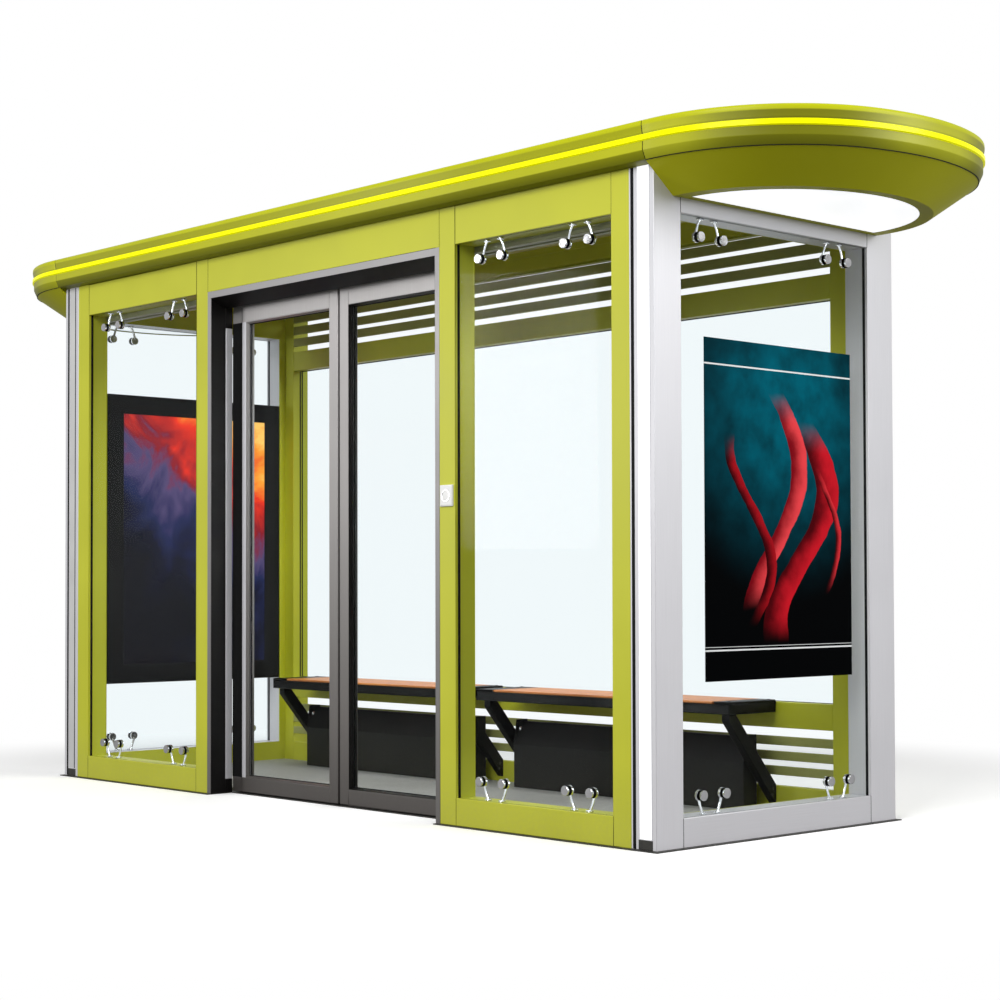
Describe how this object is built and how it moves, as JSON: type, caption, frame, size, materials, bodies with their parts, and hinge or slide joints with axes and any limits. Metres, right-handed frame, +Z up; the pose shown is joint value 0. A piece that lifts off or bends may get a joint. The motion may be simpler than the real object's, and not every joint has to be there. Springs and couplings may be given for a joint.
{
  "type": "bus shelter",
  "caption": "Enclosed glazed bus shelter with bi-parting sliding doors, benches, picture panels and a round-ended canopy over each end wall.",
  "frame": {"origin": "on the ground under the middle of the walls", "axes": "+X along the front wall towards the poster end, +Y from the doors to the back wall, +Z up"},
  "size_m": [5.4368, 1.534, 2.575],
  "materials": {
    "lime_paint": "satin powder coat",
    "canopy_paint": "satin powder coat",
    "yellow_stripe": "glossy light strip",
    "silver_metal": "satin anodised",
    "casing_metal": "satin dark coat with a pale front edge",
    "door_metal": "satin anodised",
    "dark_metal": "matt dark coat",
    "black_metal": "satin black coat",
    "chrome": "polished",
    "clear_glass": "clear with a faint cool tint",
    "floor": "fine tread, worn satin",
    "seat_wood": "oiled orange-brown wood",
    "white_light": "opal diffuser",
    "screen": "glossy picture sheet",
    "poster": "printed sheet, satin"
  },
  "bodies": {
    "shelter": {"base_plate": "dark_metal", "floor_deck": "floor", "corner_posts": "silver_metal", "corner_lights": "white_light", "front_posts": "lime_paint", "front_headers": "lime_paint", "front_rails": "lime_paint", "front_glass": "clear_glass", "front_clamps": "chrome", "door_casing_head": "casing_metal", "door_casing_jambs": "casing_metal", "door_guards": "silver_metal", "door_drive_box": "dark_metal", "door_button": "silver_metal", "end_rails": "silver_metal", "end_linings": "lime_paint", "end_glass": "clear_glass", "end_clamps": "chrome", "poster_panel": "poster", "display_housing": "black_metal", "display_screen": "screen", "display_bars": "dark_metal", "back_posts": "lime_paint", "back_rails": "lime_paint", "back_slats": "lime_paint", "back_glass": "clear_glass", "bench_frames": "black_metal", "bench_boards": "seat_wood", "bench_arms": "black_metal", "heater_boxes": "black_metal", "canopy_sides": "canopy_paint", "canopy_end_right": "canopy_paint", "canopy_end_left": "canopy_paint", "canopy_stripes": "yellow_stripe", "canopy_stripe_ends": "yellow_stripe", "soffit_bowls": "canopy_paint", "soffit_lights": "white_light", "roof_beams": "lime_paint", "roof_deck": "canopy_paint", "ceiling_panel": "lime_paint"},
    "door_left": {"door_frame_left": "door_metal", "door_glass_left": "clear_glass"},
    "door_right": {"door_frame_right": "door_metal", "door_glass_right": "clear_glass"}
  },
  "joints": [
    {"name": "door_left_slide", "type": "slide", "parent": "shelter", "child": "door_left", "axis": [-1, 0, 0], "range_m": [0, 0.768]},
    {"name": "door_right_slide", "type": "slide", "parent": "shelter", "child": "door_right", "axis": [1, 0, 0], "range_m": [0, 0.768]}
  ],
  "couplings": [
    {"joint": "door_right_slide", "follows": "door_left_slide", "ratio": 1}
  ]
}
